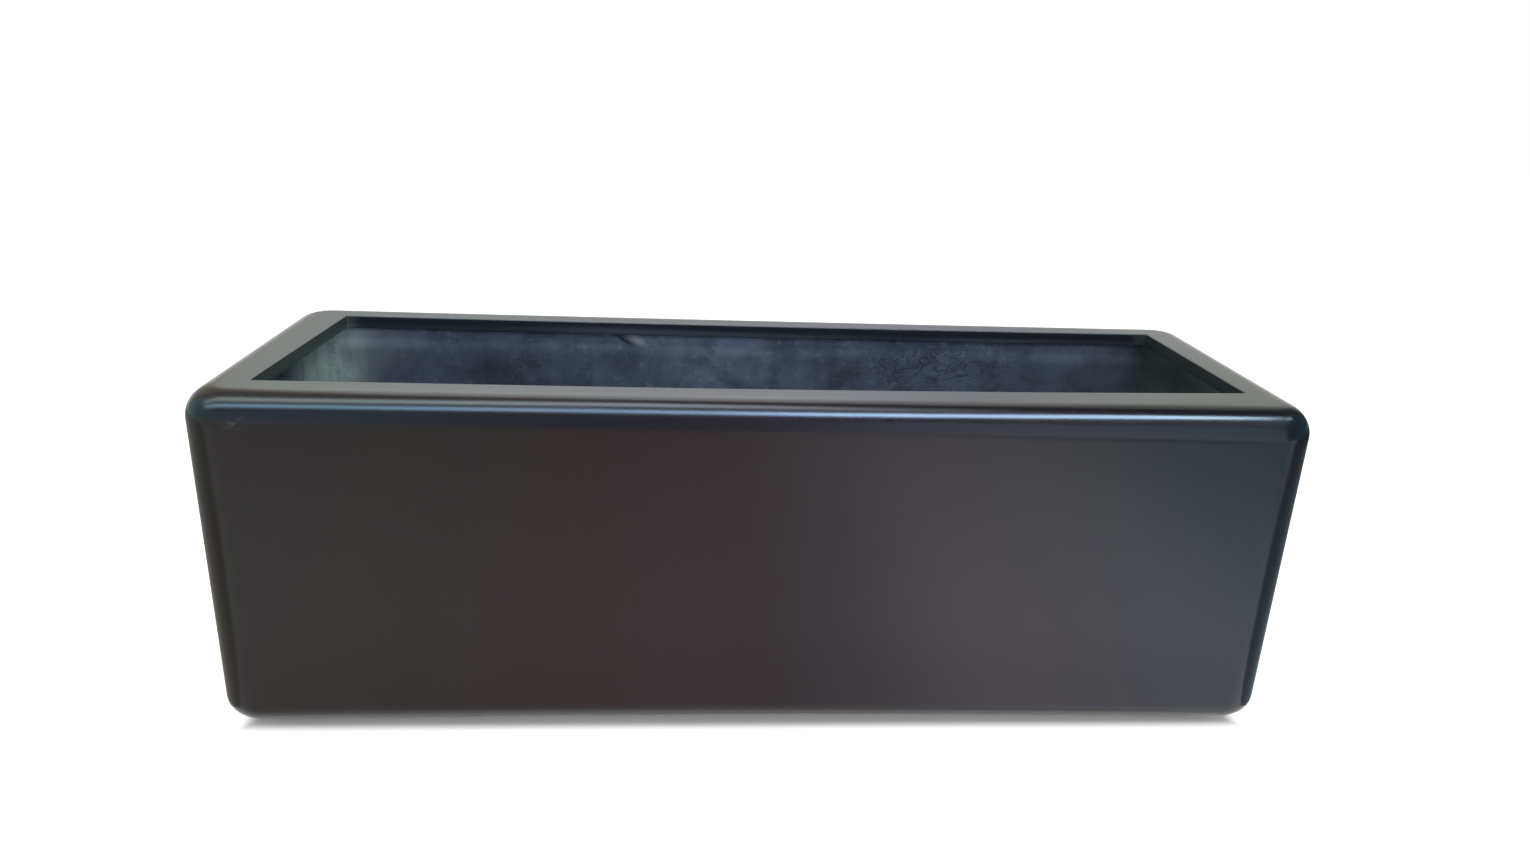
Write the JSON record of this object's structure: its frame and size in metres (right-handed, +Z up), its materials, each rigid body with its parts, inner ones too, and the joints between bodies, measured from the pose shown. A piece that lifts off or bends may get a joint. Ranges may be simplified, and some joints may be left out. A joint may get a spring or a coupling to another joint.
{
  "type": "planter box",
  "caption": "Long rectangular fibreglass planter trough with rounded edges, a turned-in flat rim, rubber feet and plugged drain holes.",
  "frame": {"origin": "centre of the footprint, on the ground under the feet", "axes": "+X along the trough's length to the right, -Y towards the front, +Z up"},
  "size_m": [0.9, 0.3, 0.3],
  "materials": {
    "satin_grp": "satin",
    "bare_laminate": "matte",
    "plywood": "matte",
    "bush_plastic": "satin",
    "plug_rubber": "matte",
    "foot_rubber": "matte",
    "zinc_steel": "satin"
  },
  "bodies": {
    "trough": {"planter_shell": "satin_grp", "base_batten_left": "plywood", "base_batten_middle": "plywood", "base_batten_right": "plywood", "batten_glassing_left": "bare_laminate", "batten_glassing_middle": "bare_laminate", "batten_glassing_right": "bare_laminate", "drain_bush_left": "bush_plastic", "drain_bush_right": "bush_plastic", "foot_front_left": "foot_rubber", "foot_front_middle": "foot_rubber", "foot_front_right": "foot_rubber", "foot_back_left": "foot_rubber", "foot_back_middle": "foot_rubber", "foot_back_right": "foot_rubber", "foot_washer_front_left": "zinc_steel", "foot_washer_front_middle": "zinc_steel", "foot_washer_front_right": "zinc_steel", "foot_washer_back_left": "zinc_steel", "foot_washer_back_middle": "zinc_steel", "foot_washer_back_right": "zinc_steel", "foot_screw_front_left": "zinc_steel", "foot_screw_front_middle": "zinc_steel", "foot_screw_front_right": "zinc_steel", "foot_screw_back_left": "zinc_steel", "foot_screw_back_middle": "zinc_steel", "foot_screw_back_right": "zinc_steel"},
    "left_plug": {"drain_plug_left": "plug_rubber"},
    "right_plug": {"drain_plug_right": "plug_rubber"}
  },
  "joints": [
    {"name": "left_plug_pull", "type": "slide", "parent": "trough", "child": "left_plug", "axis": [0, 0, 1], "range_m": [0, 0.32]},
    {"name": "right_plug_pull", "type": "slide", "parent": "trough", "child": "right_plug", "axis": [0, 0, 1], "range_m": [0, 0.32]}
  ]
}
